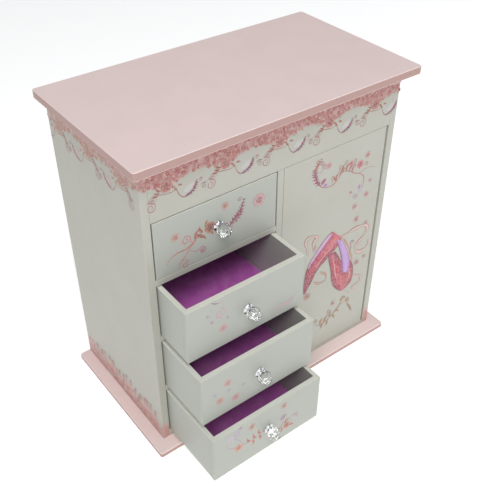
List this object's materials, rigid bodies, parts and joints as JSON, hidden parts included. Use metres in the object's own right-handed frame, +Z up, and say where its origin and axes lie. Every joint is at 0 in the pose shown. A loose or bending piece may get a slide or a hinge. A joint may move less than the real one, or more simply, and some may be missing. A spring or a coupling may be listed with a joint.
{
  "type": "ballerina music jewellery box",
  "caption": "Upright jewellery case with pink lid and plinth, a column of crystal-knobbed drawers, a tall printed door and a dancer that rises and turns to clockwork music.",
  "frame": {"origin": "centre of the base slab's underside", "axes": "+Z up, the front with the drawers and the door faces -Y, +X to the right seen from the front"},
  "size_m": [0.239, 0.2067, 0.2563],
  "materials": {
    "white_board": "satin printed paper over board",
    "pink_board": "satin paint",
    "violet_fabric": "short-pile velvet",
    "crystal": "clear faceted",
    "chrome": "polished",
    "brass": "polished",
    "steel": "plated",
    "magnet": "matt",
    "mirror": "silvered glass",
    "figure": "painted plastic",
    "net": "stiff net"
  },
  "bodies": {
    "case": {"base_slab": "pink_board", "side_left": "white_board", "side_right": "white_board", "back_panel": "white_board", "top_rail": "white_board", "centre_divider": "white_board", "drawer_shelves": "white_board", "compartment_floor": "white_board", "tray_floor": "white_board", "tray_partition": "white_board", "tray_lining": "violet_fabric", "ring_rolls": "violet_fabric", "stage": "white_board", "movement_cover": "white_board", "compartment_lining": "violet_fabric", "necklace_hooks": "brass", "door_pins": "steel", "door_magnet": "magnet", "lid_hinge_lower": "brass", "movement_plate": "steel", "music_comb": "steel", "movement_screws": "steel"},
    "lid": {"lid_slab": "pink_board", "lid_lining": "violet_fabric", "lid_mirror": "mirror", "lid_hinge_upper": "brass"},
    "door": {"door_panel": "white_board", "door_strike": "steel", "door_knob": "crystal", "door_knob_base": "chrome"},
    "barrel": {"spring_barrel": "brass", "winding_key": "steel"},
    "drum": {"music_drum": "brass", "spindle": "steel"},
    "governor_wheel": {"governor_wheel": "brass"},
    "governor_fly": {"governor_fly": "steel"},
    "stop_rod": {"stop_rod": "steel"},
    "spring_foot": {"lift_spring": "steel"},
    "dancer": {"ballerina": "figure", "tutu": "net"},
    "drawer_1": {"drawer_1_front": "white_board", "drawer_1_box": "white_board", "drawer_1_lining": "violet_fabric", "drawer_1_knob": "crystal", "drawer_1_knob_base": "chrome"},
    "drawer_2": {"drawer_2_front": "white_board", "drawer_2_box": "white_board", "drawer_2_lining": "violet_fabric", "drawer_2_knob": "crystal", "drawer_2_knob_base": "chrome"},
    "drawer_3": {"drawer_3_front": "white_board", "drawer_3_box": "white_board", "drawer_3_lining": "violet_fabric", "drawer_3_knob": "crystal", "drawer_3_knob_base": "chrome"},
    "drawer_4": {"drawer_4_front": "white_board", "drawer_4_box": "white_board", "drawer_4_lining": "violet_fabric", "drawer_4_knob": "crystal", "drawer_4_knob_base": "chrome"}
  },
  "joints": [
    {"name": "lid_hinge", "type": "hinge", "parent": "case", "child": "lid", "pos_m": [0, 0.06715, 0.25015], "axis": [-1, 0, 0], "range_deg": [0, 95]},
    {"name": "door_hinge", "type": "hinge", "parent": "case", "child": "door", "pos_m": [0.1006, -0.05175, 0.1], "axis": [0, 0, 1], "range_deg": [0, 92]},
    {"name": "drawer_1_slide", "type": "slide", "parent": "case", "child": "drawer_1", "axis": [0, -1, 0], "range_m": [0, 0.08]},
    {"name": "drawer_2_slide", "type": "slide", "parent": "case", "child": "drawer_2", "axis": [0, -1, 0], "range_m": [-0.0325, 0.0475]},
    {"name": "drawer_3_slide", "type": "slide", "parent": "case", "child": "drawer_3", "axis": [0, -1, 0], "range_m": [-0.0465, 0.0335]},
    {"name": "drawer_4_slide", "type": "slide", "parent": "case", "child": "drawer_4", "axis": [0, -1, 0], "range_m": [-0.0585, 0.0215]},
    {"name": "key_spin", "type": "hinge", "parent": "case", "child": "barrel", "pos_m": [0.053, 0.05, 0.188], "axis": [0, 1, 0], "continuous": true},
    {"name": "drum_spin", "type": "hinge", "parent": "case", "child": "drum", "pos_m": [0.053, 0.036, 0.18], "axis": [0, 0, 1], "continuous": true},
    {"name": "governor_wheel_spin", "type": "hinge", "parent": "case", "child": "governor_wheel", "pos_m": [0.04425, 0.036, 0.2], "axis": [0, 0, 1], "continuous": true},
    {"name": "governor_fly_spin", "type": "hinge", "parent": "case", "child": "governor_fly", "pos_m": [0.03705, 0.036, 0.19], "axis": [0, 0, 1], "continuous": true},
    {"name": "stop_rod_slide", "type": "slide", "parent": "case", "child": "stop_rod", "axis": [0, 0, 1], "range_m": [0, 0.004]},
    {"name": "dancer_rise", "type": "hinge", "parent": "case", "child": "spring_foot", "pos_m": [0.053, 0.036, 0.231], "axis": [-1, 0, 0], "range_deg": [0, 90]},
    {"name": "dancer_spin", "type": "hinge", "parent": "spring_foot", "child": "dancer", "pos_m": [0.053, 0.036, 0.231], "axis": [0, -1, 0], "continuous": true}
  ],
  "couplings": [
    {"joint": "drum_spin", "follows": "key_spin", "ratio": -1.25},
    {"joint": "governor_wheel_spin", "follows": "key_spin", "ratio": 5},
    {"joint": "governor_fly_spin", "follows": "key_spin", "ratio": -25},
    {"joint": "dancer_spin", "follows": "key_spin", "ratio": -1.25},
    {"joint": "dancer_rise", "follows": "lid_hinge", "ratio": 0.947},
    {"joint": "stop_rod_slide", "follows": "lid_hinge", "m_per_rad": 0.0024}
  ]
}
